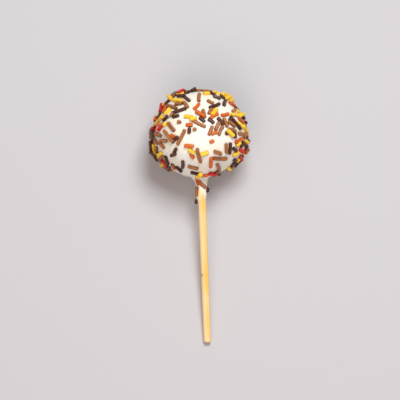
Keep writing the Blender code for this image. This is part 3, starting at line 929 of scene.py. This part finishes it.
@dataclass(frozen=True)
class SugarFinish:
    """A dyed sugar rod: smooth and a little waxy, lighter and darker from rod to rod, with painted light on
    the top of each rod and painted shade along its sides.
    """

    dye: Dye
    deep: Colour
    light: Colour
    grain_roughness: float = 0.6
    speck_scale: float = 1500.0
    speck_detail: float = 3.0
    specks: Span = (0.32, 0.68)
    speck_share: Span = (0.0, 0.4)
    streak_scale: float = 2100.0
    streak_detail: float = 2.0
    streak_squeeze: float = 0.85
    streaks: Span = (0.35, 0.65)
    streak_share: Span = (0.0, 0.45)
    rod_share: float = 0.3
    # How far each point faces out of the coating, and the painted shade (sides) and painted light (top) that
    # this gives the rod's colour.
    painted_light_facings: Span = (-0.1, 0.95)
    crest_share: Span = (-0.25, 0.2)
    tones: Span = (0.0, 1.05)
    relief_height: float = 0.05 * MM
    relief_strength: float = 0.5
    rough_specks: Span = (0.3, 0.7)
    roughness: Span = (0.28, 0.44)
    translucence: float = 0.06
    light_reach: Colour = (1.0, 0.6, 0.4)
    light_depth: float = 0.3 * MM
    shine: float = 0.32
    coat: float = 0.06
    coat_roughness: float = 0.25

    def material(self) -> bpy.types.Material:
        """Builds the material.

        Returns:
            The material.
        """
        nodes = MaterialNodes(f"{self.dye.value}_sugar")
        graph = nodes.graph
        specks = graph.grain(nodes.place, self.speck_scale, self.speck_detail, self.grain_roughness)
        along = graph.add("ShaderNodeAttribute", attribute_name="along").outputs["Vector"]
        squeezed = graph.maths("MULTIPLY", graph.dot(nodes.place, along), self.streak_squeeze)
        place = graph.vectors("SUBTRACT", nodes.place, graph.scaled(along, squeezed))
        streaks = graph.grain(place, self.streak_scale, self.streak_detail, self.grain_roughness)
        specked = graph.ranged(specks, self.specks, self.speck_share)
        streaked = graph.ranged(streaks, self.streaks, self.streak_share)
        mottle = graph.maths("ADD", specked, streaked)
        own = graph.maths("MULTIPLY", nodes.attribute("tone"), self.rod_share)
        # Painted light and shade: each rod is lighter on its top and darker along its sides.
        crest = graph.ranged(nodes.attribute("crest"), self.painted_light_facings, self.crest_share)
        tone = graph.maths("ADD", graph.maths("ADD", mottle, own), crest)
        nodes.set(
            base_color=graph.mixed(graph.ranged(tone, self.tones), self.deep, self.light),
            roughness=graph.ranged(specks, self.rough_specks, self.roughness),
            subsurface_weight=self.translucence,
            subsurface_radius=self.light_reach,
            subsurface_scale=self.light_depth,
            specular_ior_level=self.shine,
            coat_weight=self.coat,
            coat_roughness=self.coat_roughness,
            normal=graph.bumped(mottle, self.relief_height, self.relief_strength),
        )
        return nodes.material


SUGARS = (
    SugarFinish(Dye.BROWN, from_bytes(96, 46, 14), from_bytes(184, 118, 68)),
    SugarFinish(Dye.DARK, from_bytes(30, 12, 6), from_bytes(98, 56, 40)),
    SugarFinish(Dye.ORANGE, from_bytes(174, 60, 8), from_bytes(220, 112, 36)),
    SugarFinish(Dye.YELLOW, from_bytes(228, 166, 18), from_bytes(254, 220, 66)),
    SugarFinish(Dye.RED, from_bytes(158, 10, 4), from_bytes(224, 40, 16)),
)


def new_piece(name: str, mesh: bpy.types.Mesh) -> bpy.types.Object:
    """Puts a mesh into the scene as an object at the origin.

    Args:
        name: the object's name.
        mesh: its mesh.

    Returns:
        The object.
    """
    piece = bpy.data.objects.new(name, mesh)
    bpy.context.scene.collection.objects.link(piece)
    return piece


def ring_faces(rings: int, sides: int, closed_ends: tuple[int, int]) -> list[tuple[int, ...]]:
    """The faces of a round shape of rings, with a point at each end.

    Args:
        rings: how many rings it has, from the top down.
        sides: how many points a ring has.
        closed_ends: the numbers of the points at its top and bottom.

    Returns:
        The faces, which point out where the angle runs from right over front.
    """
    faces: list[tuple[int, ...]] = []
    for side in range(sides):
        after = (side + 1) % sides
        faces.append((closed_ends[0], side, after))
        for ring in range(rings - 1):
            upper, lower = ring * sides, (ring + 1) * sides
            faces.append((upper + side, lower + side, lower + after, upper + after))
        last = (rings - 1) * sides
        faces.append((closed_ends[1], last + after, last + side))
    return faces


def round_mesh(name: str, rings: Sequence[Sequence[Vector]], top: Vector, bottom: Vector) -> bpy.types.Mesh:
    """A closed round mesh.

    Args:
        name: the mesh's name.
        rings: its rings of points, from the top down.
        top: the point over the first ring.
        bottom: the point under the last.

    Returns:
        The mesh, shaded smooth.
    """
    points = [tuple(point) for ring in rings for point in ring]
    ends = (len(points), len(points) + 1)
    mesh = bpy.data.meshes.new(name)
    mesh.from_pydata([*points, tuple(top), tuple(bottom)], [], ring_faces(len(rings), len(rings[0]), ends))
    mesh.update()
    mesh.shade_smooth()
    return mesh


def add_numbers(mesh: bpy.types.Mesh, name: str, values: Iterable[float]) -> None:
    """Gives each point of a mesh a number under this name."""
    attribute = mesh.attributes.new(name, "FLOAT", "POINT")
    attribute.data.foreach_set("value", np.array(list(values), np.float32))


@dataclass
class Coating:
    """The white coating of the ball, which runs down the stick in a thin collar."""

    form: PopForm
    sides: int = 400
    ball_rings: int = 190
    collar_rings: int = 44
    neck: float = -20.5 * MM
    end_right: float = -28.2 * MM
    end_left: float = -29.9 * MM
    end_front: float = 1.2 * MM
    thick_right: float = 0.52 * MM
    thick_left: float = 0.66 * MM
    lip_right: float = 5.8 * MM
    lip_left: float = 3.6 * MM
    edge_wave: float = 0.16 * MM
    edge_waves: tuple[tuple[float, int, float], ...] = ((1.0, 3, 1.0), (0.5, 7, 0.0))
    bore_slack: float = 0.04 * MM
    bore_shares: tuple[float, ...] = (0.02, 0.5, 1.0)
    lump: float = 0.16 * MM
    lump_size: float = 9.0 * MM
    dent: float = 0.05 * MM
    dent_size: float = 3.2 * MM
    rise: float = 0.24 * MM
    rise_reach: float = 0.34 * MM
    contact: float = 0.6 * MM
    lumpy_from: float = 2.0 * MM
    rising_from: float = 0.5 * MM
    film_right: float = -26.2 * MM
    film_left: float = -21.0 * MM
    film_run: float = 4.0 * MM
    film_edge: float = 0.16 * MM
    film_waver: float = 0.15
    film_waver_size: float = 1.5 * MM
    film_at_sides: float = 1.6
    profile_steps: int = 4000
    neck_steps: int = 200

    def end(self, angle: float) -> float:
        """The height at which the collar ends.

        Args:
            angle: the angle round the stick's line.

        Returns:
            The height along that line.
        """
        wave = sum(share * math.sin(count * angle + start) for share, count, start in self.edge_waves)
        plain = blend(self.end_right, self.end_left, leftness(angle))
        return plain + self.end_front * math.sin(angle) ** 2 + self.edge_wave * wave

    def thickness(self, height: float, angle: float) -> float:
        """The collar's thickness over the stick, which runs out to nothing at its end.

        Args:
            height: the place's height along the stick's line.
            angle: its angle round that line.

        Returns:
            The thickness in metres.
        """
        left = leftness(angle)
        full = blend(self.thick_right, self.thick_left, left)
        return full * eased((height - self.end(angle)) / blend(self.lip_right, self.lip_left, left))

    def film(self, point: Vector) -> float:
        """How far the bamboo shows through the collar at a point.

        It shows least at the two sides, and further up on the left than on the right.

        Args:
            point: the point, before the pop is laid down.

        Returns:
            A share from 0 to 1.
        """
        thickness = math.hypot(point.x, point.z) - self.form.real_stick_radius(point.y)
        feathered = math.exp(-max(0.0, thickness) / self.film_edge)
        angle = math.atan2(point.z, point.x)
        middle = blend(self.film_right, self.film_left, leftness(angle))
        waver = self.film_waver * noise.noise(point / self.film_waver_size)
        wet = eased(0.5 + (middle - point.y) / self.film_run + waver)
        return max(feathered, wet * min(1.0, self.film_at_sides * abs(math.sin(angle))))

    def point(self, height: float, angle: float) -> Vector:
        """The point of the smooth coating at a place."""
        radius = self.form.real_stick_radius(height) - self.bore_slack / 2
        return self.form.skin_point(height, angle, radius + self.thickness(height, angle))

    def brought_in(self, rod: Rod) -> Rod:
        """A rod of the neck laid closer to the stick, as the collar is thinner than the solid's.

        Args:
            rod: the rod as it lies on the solid.

        Returns:
            The rod as it lies here.
        """
        if rod.centre.y > self.form.neck_rods:
            return rod
        place = rod.centre.y, math.atan2(rod.centre.z, rod.centre.x)
        shift = rod.outward * (self.form.skin_point(*place) - self.point(*place)).length
        return replace(rod, centre=rod.centre - shift, spots=rod.spots - np.array(shift))

    def ball_heights(self) -> list[float]:
        """The heights of the rings from the crown to the neck, evenly spaced along the outline.

        Returns:
            The heights, from the top down.
        """
        steps = np.linspace(0.0, math.pi, self.profile_steps)
        heights = self.form.crown_height * np.cos(steps)
        neck = np.linspace(-self.form.crown_height, self.neck, self.neck_steps)
        heights = np.unique(np.append(heights[heights > self.neck], neck))[::-1]
        radii = np.array([self.form.skin_radius(height, math.pi / 2) for height in heights])
        lengths = np.append(0.0, np.cumsum(np.hypot(np.diff(heights), np.diff(radii))))
        wanted = np.linspace(0.0, lengths[-1], self.ball_rings + 1)[1:]
        return list(np.interp(wanted, lengths, heights))

    def rings(self) -> list[list[Vector]]:
        """The rings of points, from the crown over the collar's end into the bore for the stick.

        Returns:
            The rings, each from right over front.
        """
        angles = [2 * math.pi * side / self.sides for side in range(self.sides)]
        rings = [[self.point(height, angle) for angle in angles] for height in self.ball_heights()]
        for ring in range(1, self.collar_rings + 1):
            share = ring / self.collar_rings
            rings.append([self.point(blend(self.neck, self.end(angle), share), angle) for angle in angles])
        for share in self.bore_shares:
            ring = []
            for angle in angles:
                height = blend(self.end(angle), self.form.stick_top, share)
                radius = self.form.real_stick_radius(height) - self.bore_slack
                ring.append(Vector((radius * math.cos(angle), height, radius * math.sin(angle))))
            rings.append(ring)
        return rings

    def relief(self, mesh: bpy.types.Mesh, rods: Sequence[Rod]) -> list[float]:
        """How far each point of the mesh stands out, for lumps, dents and the rise to each rod.

        Args:
            mesh: the smooth coating.
            rods: the rods that lie in it.

        Returns:
            A distance for each point.
        """
        tree = KDTree(sum(len(rod.spots) for rod in rods))
        for number, spot in enumerate(spot for rod in rods for spot in rod.spots):
            tree.insert(spot, number)
        tree.balance()
        heights = []
        for vertex in mesh.vertices:
            place = vertex.co
            thickness = math.hypot(place.x, place.z) - self.form.real_stick_radius(place.y)
            lump = self.lump * noise.noise(place / self.lump_size)
            dent = self.dent * noise.noise(place / self.dent_size)
            gap = max(0.0, tree.find(place)[2] - self.contact)
            rise = self.rise * math.exp(-((gap / self.rise_reach) ** 2))
            uneven = (lump + dent) * self.fullness(thickness, self.lumpy_from)
            heights.append(uneven + rise * self.fullness(thickness, self.rising_from))
        return heights

    def fullness(self, thickness: float, full: float) -> float:
        """How much of its relief a place has, which is less where the coating is thinner than this."""
        return min(1.0, max(0.0, thickness / full))

    def build(self, rods: Sequence[Rod]) -> bpy.types.Object:
        """Builds the coating where it lies.

        Args:
            rods: the rods that lie in it.

        Returns:
            The piece.
        """
        rings = self.rings()
        crown = self.form.skin_point(self.form.crown_height, 0.0)
        mesh = round_mesh("coating", rings, crown, Vector((0, self.form.stick_top, 0)))
        outer = (self.ball_rings + self.collar_rings) * self.sides
        add_numbers(mesh, "thin", (self.film(vertex.co) for vertex in mesh.vertices))
        normals = [vertex.normal.copy() for vertex in mesh.vertices]
        relief = self.relief(mesh, rods)
        lying = self.form.lying()
        for number, vertex in enumerate(mesh.vertices):
            if number < outer or number == len(mesh.vertices) - 2:
                vertex.co += normals[number] * relief[number]
            vertex.co = lying @ vertex.co
            vertex.co.z = max(vertex.co.z, 0.0)
        mesh.update()
        piece = new_piece("coating", mesh)
        mesh.materials.append(CoatingFinish(BambooFinish(self.form)).material())
        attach(piece, "root")
        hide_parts("coated_ball")
        return piece


@dataclass
class RodTree:
    """The node tree that grows a sugar rod with rounded ends on each point of a mesh."""

    rings: int = 12
    end_rings: int = 3
    flat_end: float = math.radians(48)
    arch: float = 0.4
    waver_scale: float = 900.0
    waver_detail: float = 1.0
    name: str = "sugar_rods"

    def __post_init__(self) -> None:
        """Makes the tree and its named inputs."""
        self.tree = bpy.data.node_groups.new(self.name, "GeometryNodeTree")
        self.graph = NodeGraph(self.tree)
        face = self.tree.interface
        face.new_socket(name="Points", in_out="INPUT", socket_type="NodeSocketGeometry")
        face.new_socket(name="Rods", in_out="OUTPUT", socket_type="NodeSocketGeometry")
        kinds = {
            "Sides": "NodeSocketInt",
            "End length": "NodeSocketFloat",
            "Unevenness": "NodeSocketFloat",
            "Seed": "NodeSocketInt",
            "Finish": "NodeSocketMaterial",
        }
        self.sockets = {
            name: face.new_socket(name=name, in_out="INPUT", socket_type=kind) for name, kind in kinds.items()
        }
        self.grow()

    def named(self, name: str, kind: str = "FLOAT") -> Socket:
        """A value that each point carries under this name."""
        return self.graph.add("GeometryNodeInputNamedAttribute", {"Name": name}, data_type=kind).outputs[0]

    def ring_outline(self, end_length: Socket) -> tuple[Socket, Socket]:
        """Where a ring is along its rod and how wide it is there.

        Args:
            end_length: the length of the rounded end, as a share of the width.

        Returns:
            The ring's distance from the middle, and its radius.
        """
        graph = self.graph
        ring = self.named("ring")
        width = self.named("width")
        middle = (self.rings - 1) / 2
        from_end = graph.maths("MINIMUM", ring, graph.maths("SUBTRACT", self.rings - 1, ring))
        turned = graph.maths("MINIMUM", graph.maths("DIVIDE", from_end, self.end_rings), 1.0)
        turn = graph.maths("MULTIPLY_ADD", turned, math.pi / 2 - self.flat_end, self.flat_end)
        radius = graph.maths("MULTIPLY", graph.maths("SINE", turn), graph.maths("MULTIPLY", width, 0.5))
        depth = graph.maths("SUBTRACT", math.cos(self.flat_end), graph.maths("COSINE", turn))
        inset = graph.maths("MULTIPLY", graph.maths("MULTIPLY", depth, end_length), width)
        straight = graph.maths("SUBTRACT", graph.maths("MULTIPLY", self.named("length"), 0.5), inset)
        share = graph.maths("DIVIDE", graph.maths("SUBTRACT", middle, from_end), middle - self.end_rings)
        reach = graph.maths("MULTIPLY", straight, graph.maths("MINIMUM", share, 1.0))
        side = graph.maths("SIGN", graph.maths("SUBTRACT", ring, middle))
        return graph.maths("MULTIPLY", reach, side), radius

    def grow(self) -> None:
        """Builds the nodes."""
        graph = self.graph
        given = graph.add("NodeGroupInput")
        line = graph.add("GeometryNodeCurvePrimitiveLine", {"End": (0, 0, MM)})
        inputs = {"Curve": line.outputs[0], "Count": self.rings}
        line = graph.add("GeometryNodeResampleCurve", inputs, mode="COUNT")
        index = graph.add("GeometryNodeInputIndex").outputs[0]
        inputs = {"Geometry": line.outputs[0], "Name": "ring", "Value": index}
        line = graph.add("GeometryNodeStoreNamedAttribute", inputs, data_type="FLOAT", domain="POINT")
        inputs = {"Points": given.outputs["Points"], "Instance": line.outputs[0]}
        lines = graph.add("GeometryNodeInstanceOnPoints", inputs)
        lines = graph.add("GeometryNodeRealizeInstances", {"Geometry": lines.outputs[0]})

        reach, radius = self.ring_outline(given.outputs["End length"])
        along = graph.scaled(self.named("along", "FLOAT_VECTOR"), reach)
        half = graph.maths("MULTIPLY", self.named("length"), 0.5)
        share = graph.maths("DIVIDE", reach, half)
        arch = graph.maths("SUBTRACT", self.arch, graph.maths("MULTIPLY", share, share))
        bend = graph.scaled(self.named("bend", "FLOAT_VECTOR"), arch)
        place = graph.vectors("ADD", self.named("centre", "FLOAT_VECTOR"), graph.vectors("ADD", along, bend))
        lines = graph.add("GeometryNodeSetPosition", {"Geometry": lines.outputs[0], "Position": place})
        inputs = {"Resolution": given.outputs["Sides"], "Radius": 1.0}
        outline = graph.add("GeometryNodeCurvePrimitiveCircle", inputs, mode="RADIUS")
        inputs = {"Curve": lines.outputs[0], "Profile Curve": outline.outputs[0], "Scale": radius}
        rods = graph.add("GeometryNodeCurveToMesh", {**inputs, "Fill Caps": True})

        spot = graph.add("GeometryNodeInputPosition").outputs[0]
        shift = graph.scaled((1.0, 1.0, 1.0), given.outputs["Seed"])
        waver = graph.grain(graph.vectors("ADD", spot, shift), self.waver_scale, self.waver_detail)
        swing = graph.maths("MULTIPLY", graph.maths("SUBTRACT", waver, 0.5), given.outputs["Unevenness"])
        normal = graph.add("GeometryNodeInputNormal").outputs[0]
        # How far each point faces out of the coating, for the finish's painted light on top and painted shade
        # at the sides.
        crest = graph.dot(normal, self.named("outward", "FLOAT_VECTOR"))
        inputs = {"Geometry": rods.outputs[0], "Name": "crest", "Value": crest}
        rods = graph.add("GeometryNodeStoreNamedAttribute", inputs, data_type="FLOAT", domain="POINT")
        inputs = {"Geometry": rods.outputs[0], "Offset": graph.scaled(normal, swing)}
        rods = graph.add("GeometryNodeSetPosition", inputs)
        rods = graph.add("GeometryNodeSetShadeSmooth", {"Geometry": rods.outputs[0]})
        rods = graph.add("GeometryNodeRealizeInstances", {"Geometry": rods.outputs[0]})
        inputs = {"Geometry": rods.outputs[0], "Material": given.outputs["Finish"]}
        rods = graph.add("GeometryNodeSetMaterial", inputs)
        graph.add("NodeGroupOutput", {"Rods": rods.outputs[0]})


@dataclass
class RodPiece:
    """All the sugar rods of one colour, as one piece."""

    form: PopForm
    rods: list[Rod]
    finish: SugarFinish
    tree: RodTree
    seed: int = 7
    sides: int = 14
    end_length: float = 0.26
    unevenness: float = 0.16 * MM
    most_bend: float = 0.28 * MM
    most_bent_from: float = 4 * MM
    widths: Span = (1.0, 1.12)
    inset: float = 0.02 * MM

    def points(self) -> bpy.types.Mesh:
        """A mesh with a point for each rod, which carries the rod's directions and sizes.

        Returns:
            The mesh, as the pop lies.
        """
        lying = self.form.lying()
        turn = lying.to_3x3()
        draw = random.Random(self.seed + len(self.rods))
        mesh = bpy.data.meshes.new(f"{self.finish.dye.value}_points")
        fuller = [draw.uniform(*self.widths) for _ in self.rods]
        centres = []
        for rod, wider in zip(self.rods, fuller):
            inset = rod.outward * (rod.width * (wider - 1) / 2 + self.inset)
            centres.append(lying @ (rod.centre - inset))
        mesh.from_pydata(centres, [], [])
        alongs = [turn @ rod.along for rod in self.rods]
        bends = []
        for rod, along in zip(self.rods, alongs):
            sideways = along.cross(turn @ rod.outward) * draw.uniform(-1, 1)
            bends.append(sideways * self.most_bend * min(1.0, rod.length / self.most_bent_from))
        outwards = [turn @ rod.outward for rod in self.rods]
        for name, vectors in (("centre", centres), ("along", alongs), ("bend", bends), ("outward", outwards)):
            attribute = mesh.attributes.new(name, "FLOAT_VECTOR", "POINT")
            attribute.data.foreach_set("vector", np.array(vectors, np.float32).ravel())
        add_numbers(mesh, "length", (rod.length for rod in self.rods))
        add_numbers(mesh, "width", (rod.width * wider for rod, wider in zip(self.rods, fuller)))
        add_numbers(mesh, "tone", (draw.random() for _ in self.rods))
        return mesh

    def build(self) -> bpy.types.Object:
        """Builds the rods where they lie.

        Returns:
            The piece.
        """
        piece = new_piece(f"{self.finish.dye.value}_sprinkles", self.points())
        modifier = piece.modifiers.new("rods", "NODES")
        modifier.node_group = self.tree.tree
        values = {
            "Sides": self.sides,
            "End length": self.end_length,
            "Unevenness": self.unevenness,
            "Seed": self.seed,
            "Finish": self.finish.material(),
        }
        for name, value in values.items():
            modifier[self.tree.sockets[name].identifier] = value
        graph = bpy.context.evaluated_depsgraph_get()
        grown = bpy.data.meshes.new_from_object(piece.evaluated_get(graph))
        piece.modifiers.clear()
        piece.data = grown
        for name in ("ring", "centre", "bend", "outward", "length", "width"):
            if name in grown.attributes:
                grown.attributes.remove(grown.attributes[name])
        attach(piece, "root")
        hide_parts("coated_ball")
        return piece


@dataclass
class Stick:
    """The bamboo stick: a little uneven, with a small nick and a worn foot."""

    form: PopForm
    sides: int = 64
    rings: int = 260
    end_rings: int = 6
    ridge: float = 0.022 * MM
    ridge_scale: float = 6.0
    ridge_run: float = 40 * MM
    waver: float = 0.04 * MM
    waver_scale: float = 0.9
    waver_run: float = 7 * MM
    waver_shift: Span = (3.0, 1.0)
    nick_height: float = -57.9 * MM
    nick_angle: float = math.radians(146)
    nick_depth: float = 0.34 * MM
    nick_length: float = 0.42 * MM
    nick_width: float = math.radians(17)
    soft_corner: float = 0.85 * MM
    sharp_corner: float = 0.30 * MM
    sharp_angle: float = math.radians(50)

    def radius(self, height: float, angle: float) -> float:
        """The stick's radius at a place, with its ridges and unevenness.

        Args:
            height: the place's height along the stick's line.
            angle: its angle round that line.

        Returns:
            The radius in metres.
        """
        around = Vector((math.cos(angle), math.sin(angle), 0))
        ridges = noise.noise(around * self.ridge_scale + Vector((0, 0, height / self.ridge_run)))
        shift = Vector((*self.waver_shift, height / self.waver_run))
        wide = noise.noise(around * self.waver_scale + shift)
        return self.form.real_stick_radius(height) + self.ridge * ridges + self.waver * wide

    def nick(self, height: float, angle: float) -> float:
        """How deep in the nick a place is.

        Args:
            height: the place's height along the stick's line.
            angle: its angle round that line.

        Returns:
            A share, from 0 outside the nick to 1 in its middle.
        """
        off = ((height - self.nick_height) / self.nick_length) ** 2
        turn = (angle - self.nick_angle + math.pi) % (2 * math.pi) - math.pi
        return math.exp(-off - (turn / self.nick_width) ** 2)

    def build(self) -> bpy.types.Object:
        """Builds the stick where it lies.

        Returns:
            The piece.
        """
        angles = [2 * math.pi * side / self.sides for side in range(self.sides)]
        top, foot = self.form.stick_top, self.form.stick_foot + self.form.foot_wear
        rings: list[list[Vector]] = []
        nicks: list[float] = []
        last = foot + self.soft_corner
        heights = [blend(top, last, ring / self.rings) for ring in range(self.rings + 1)]
        steps = [(height, 0.0) for height in heights]
        steps += [(last, turn * math.pi / 2 / self.end_rings) for turn in range(1, self.end_rings + 1)]
        for height, turn in steps:
            ring = []
            for angle in angles:
                corner = blend(self.sharp_corner, self.soft_corner, leftness(angle))
                low = foot + corner - corner * math.sin(turn) if turn else height
                depth = self.nick(low, angle)
                radius = self.radius(low, angle) - self.nick_depth * depth - corner * (1 - math.cos(turn))
                ring.append(Vector((radius * math.cos(angle), low, radius * math.sin(angle))))
                nicks.append(depth)
            rings.append(ring)
        mesh = round_mesh("stick", rings, Vector((0, top, 0)), Vector((0, foot, 0)))
        add_numbers(mesh, "nicked", [*nicks, 0.0, 0.0])
        mesh.transform(self.form.lying())
        mesh.set_sharp_from_angle(angle=self.sharp_angle)
        piece = new_piece("bamboo_stick", mesh)
        mesh.materials.append(BambooFinish(self.form).material())
        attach(piece, "root")
        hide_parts("stick")
        return piece


@dataclass(frozen=True)
class Lamp:
    """A soft square light that faces the ball, with its place and side in metres and its power in watts."""

    name: str
    place: tuple[float, float, float]
    power: float
    side: float
    tone: Colour


@dataclass
class Studio:
    """A pale floor, soft light, and the camera that looks straight onto the shown face."""

    form: PopForm
    seen_width: float = 164 * MM
    distance: float = 4.0
    roll: float = math.radians(2.16)
    aim_right: float = -0.85 * MM
    aim_up: float = -27.0 * MM
    sensor_width: float = 36.0
    seen_depths: Span = (0.05, 20.0)
    floor_side: float = 3.0
    floor_tone: Colour = from_bytes(192, 192, 196)
    floor_roughness: float = 0.8
    sky_tone: Colour = (1.0, 0.97, 0.95)
    sky_strength: float = 0.26
    lamps: tuple[Lamp, ...] = (
        Lamp("key", (0.16, 0.31, 0.91), 8.3, 0.40, (1.0, 0.99, 0.98)),
        Lamp("fill", (-0.12, -0.52, 0.80), 3.6, 0.6, (1.0, 0.82, 0.76)),
    )

    def floor(self) -> None:
        """Lays the floor."""
        half = self.floor_side / 2
        corners = [(-half, -half, 0), (half, -half, 0), (half, half, 0), (-half, half, 0)]
        mesh = bpy.data.meshes.new("floor")
        mesh.from_pydata(corners, [], [(0, 1, 2, 3)])
        nodes = MaterialNodes("pale_floor")
        nodes.set(base_color=self.floor_tone, roughness=self.floor_roughness)
        mesh.materials.append(nodes.material)
        new_piece("floor", mesh)

    def light(self, lamp: Lamp) -> None:
        """Hangs a light that faces the ball.

        Args:
            lamp: the light.
        """
        light = bpy.data.lights.new(lamp.name, "AREA")
        light.energy = lamp.power
        light.size = lamp.side
        light.color = lamp.tone
        holder = bpy.data.objects.new(lamp.name, light)
        holder.location = lamp.place
        aim = Vector((0, 0, self.form.ball_radius)) - Vector(lamp.place)
        holder.rotation_euler = aim.to_track_quat("-Z", "Y").to_euler()
        bpy.context.scene.collection.objects.link(holder)

    def lights(self) -> None:
        """Sets the sky and the lights."""
        world = bpy.data.worlds.new("studio")
        world.use_nodes = True
        sky = world.node_tree.nodes["Background"]
        sky.inputs["Color"].default_value = (*self.sky_tone, 1.0)
        sky.inputs["Strength"].default_value = self.sky_strength
        bpy.context.scene.world = world
        for lamp in self.lamps:
            self.light(lamp)

    def camera(self) -> None:
        """Places the camera."""
        tilt = self.form.tilt()
        right = Vector((1, 0, 0))
        up = Vector((0, math.cos(tilt), math.sin(tilt)))
        out = right.cross(up)
        aim = self.form.lying() @ Vector((self.aim_right, self.aim_up, 0))
        lens = bpy.data.cameras.new("camera")
        lens.sensor_width = self.sensor_width
        lens.lens = self.sensor_width * self.distance / self.seen_width
        lens.clip_start, lens.clip_end = self.seen_depths
        holder = bpy.data.objects.new("camera", lens)
        turn = Matrix((right, up, out)).transposed().to_4x4() @ Matrix.Rotation(-self.roll, 4, "Z")
        holder.matrix_world = Matrix.Translation(aim + out * self.distance) @ turn
        bpy.context.scene.collection.objects.link(holder)
        bpy.context.scene.camera = holder

    def build(self) -> None:
        """Sets up the floor, the light and the camera."""
        bpy.context.scene.view_settings.view_transform = "Standard"
        self.floor()
        self.lights()
        self.camera()


def report(piece: bpy.types.Object) -> None:
    """Logs a piece's name and size."""
    triangles = sum(len(face.vertices) - 2 for face in piece.data.polygons)
    log.info("%s: %d triangles", piece.name, triangles)


def main() -> None:
    """Builds the pop and its surroundings."""
    logging.basicConfig(level=logging.INFO, format="%(name)s %(message)s")
    form = PopForm()
    coating = Coating(form)
    rods = [coating.brought_in(rod) for rod in RodLayout(form).rods()]
    log.info("%d sugar rods", len(rods))
    tree = RodTree()
    report(coating.build(rods))
    for finish in SUGARS:
        report(RodPiece(form, [rod for rod in rods if rod.dye is finish.dye], finish, tree).build())
    report(Stick(form).build())
    Studio(form).build()


if __name__ == "__main__":
    main()
